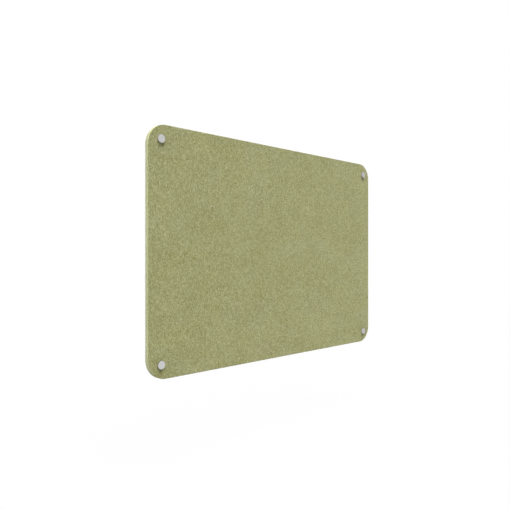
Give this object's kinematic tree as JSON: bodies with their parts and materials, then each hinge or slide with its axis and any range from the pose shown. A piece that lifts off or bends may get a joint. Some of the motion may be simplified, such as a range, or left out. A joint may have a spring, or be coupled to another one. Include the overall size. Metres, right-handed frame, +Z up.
{
  "type": "acoustic pinboard",
  "caption": "Rectangular felt acoustic pinboard with round corners, held off the wall by screw-together metal standoffs near its corners.",
  "frame": {"origin": "centre of the four wall fixings, in the plane of the wall", "axes": "+X to the right as seen from the room, +Y into the wall, +Z up; the felt faces -Y"},
  "size_m": [0.9, 0.0672, 0.6],
  "materials": {
    "felt": "pressed polyester felt, sage green marl of light and dark fibres",
    "satin_metal": "turned and satin brushed",
    "zinc_plate": "bright zinc plate",
    "nylon": "natural nylon, slightly waxy",
    "grey_plastic": "moulded grey nylon"
  },
  "bodies": {
    "board": {"felt_panel": "felt", "rear_washer_top_left": "nylon", "rear_washer_top_right": "nylon", "rear_washer_bottom_left": "nylon", "rear_washer_bottom_right": "nylon", "barrel_top_left": "satin_metal", "barrel_top_right": "satin_metal", "barrel_bottom_left": "satin_metal", "barrel_bottom_right": "satin_metal", "wall_screw_top_left": "zinc_plate", "wall_screw_top_right": "zinc_plate", "wall_screw_bottom_left": "zinc_plate", "wall_screw_bottom_right": "zinc_plate", "wall_plug_top_left": "grey_plastic", "wall_plug_top_right": "grey_plastic", "wall_plug_bottom_left": "grey_plastic", "wall_plug_bottom_right": "grey_plastic"},
    "front_washer_top_left": {"front_washer_top_left": "nylon"},
    "cap_top_left": {"cap_top_left": "satin_metal", "stud_top_left": "zinc_plate"},
    "front_washer_top_right": {"front_washer_top_right": "nylon"},
    "cap_top_right": {"cap_top_right": "satin_metal", "stud_top_right": "zinc_plate"},
    "front_washer_bottom_left": {"front_washer_bottom_left": "nylon"},
    "cap_bottom_left": {"cap_bottom_left": "satin_metal", "stud_bottom_left": "zinc_plate"},
    "front_washer_bottom_right": {"front_washer_bottom_right": "nylon"},
    "cap_bottom_right": {"cap_bottom_right": "satin_metal", "stud_bottom_right": "zinc_plate"}
  },
  "joints": [
    {"name": "cap_travel_top_left", "type": "slide", "parent": "board", "child": "front_washer_top_left", "axis": [0, -1, 0], "range_m": [0, 0.009]},
    {"name": "cap_turn_top_left", "type": "hinge", "parent": "front_washer_top_left", "child": "cap_top_left", "pos_m": [-0.415, 0, 0.265], "axis": [0, -1, 0], "range_deg": [0, 2160]},
    {"name": "cap_travel_top_right", "type": "slide", "parent": "board", "child": "front_washer_top_right", "axis": [0, -1, 0], "range_m": [0, 0.009]},
    {"name": "cap_turn_top_right", "type": "hinge", "parent": "front_washer_top_right", "child": "cap_top_right", "pos_m": [0.415, 0, 0.265], "axis": [0, -1, 0], "range_deg": [0, 2160]},
    {"name": "cap_travel_bottom_left", "type": "slide", "parent": "board", "child": "front_washer_bottom_left", "axis": [0, -1, 0], "range_m": [0, 0.009]},
    {"name": "cap_turn_bottom_left", "type": "hinge", "parent": "front_washer_bottom_left", "child": "cap_bottom_left", "pos_m": [-0.415, 0, -0.265], "axis": [0, -1, 0], "range_deg": [0, 2160]},
    {"name": "cap_travel_bottom_right", "type": "slide", "parent": "board", "child": "front_washer_bottom_right", "axis": [0, -1, 0], "range_m": [0, 0.009]},
    {"name": "cap_turn_bottom_right", "type": "hinge", "parent": "front_washer_bottom_right", "child": "cap_bottom_right", "pos_m": [0.415, 0, -0.265], "axis": [0, -1, 0], "range_deg": [0, 2160]}
  ],
  "couplings": [
    {"joint": "cap_travel_top_left", "follows": "cap_turn_top_left", "m_per_rad": 0.00023873},
    {"joint": "cap_travel_top_right", "follows": "cap_turn_top_right", "m_per_rad": 0.00023873},
    {"joint": "cap_travel_bottom_left", "follows": "cap_turn_bottom_left", "m_per_rad": 0.00023873},
    {"joint": "cap_travel_bottom_right", "follows": "cap_turn_bottom_right", "m_per_rad": 0.00023873}
  ]
}
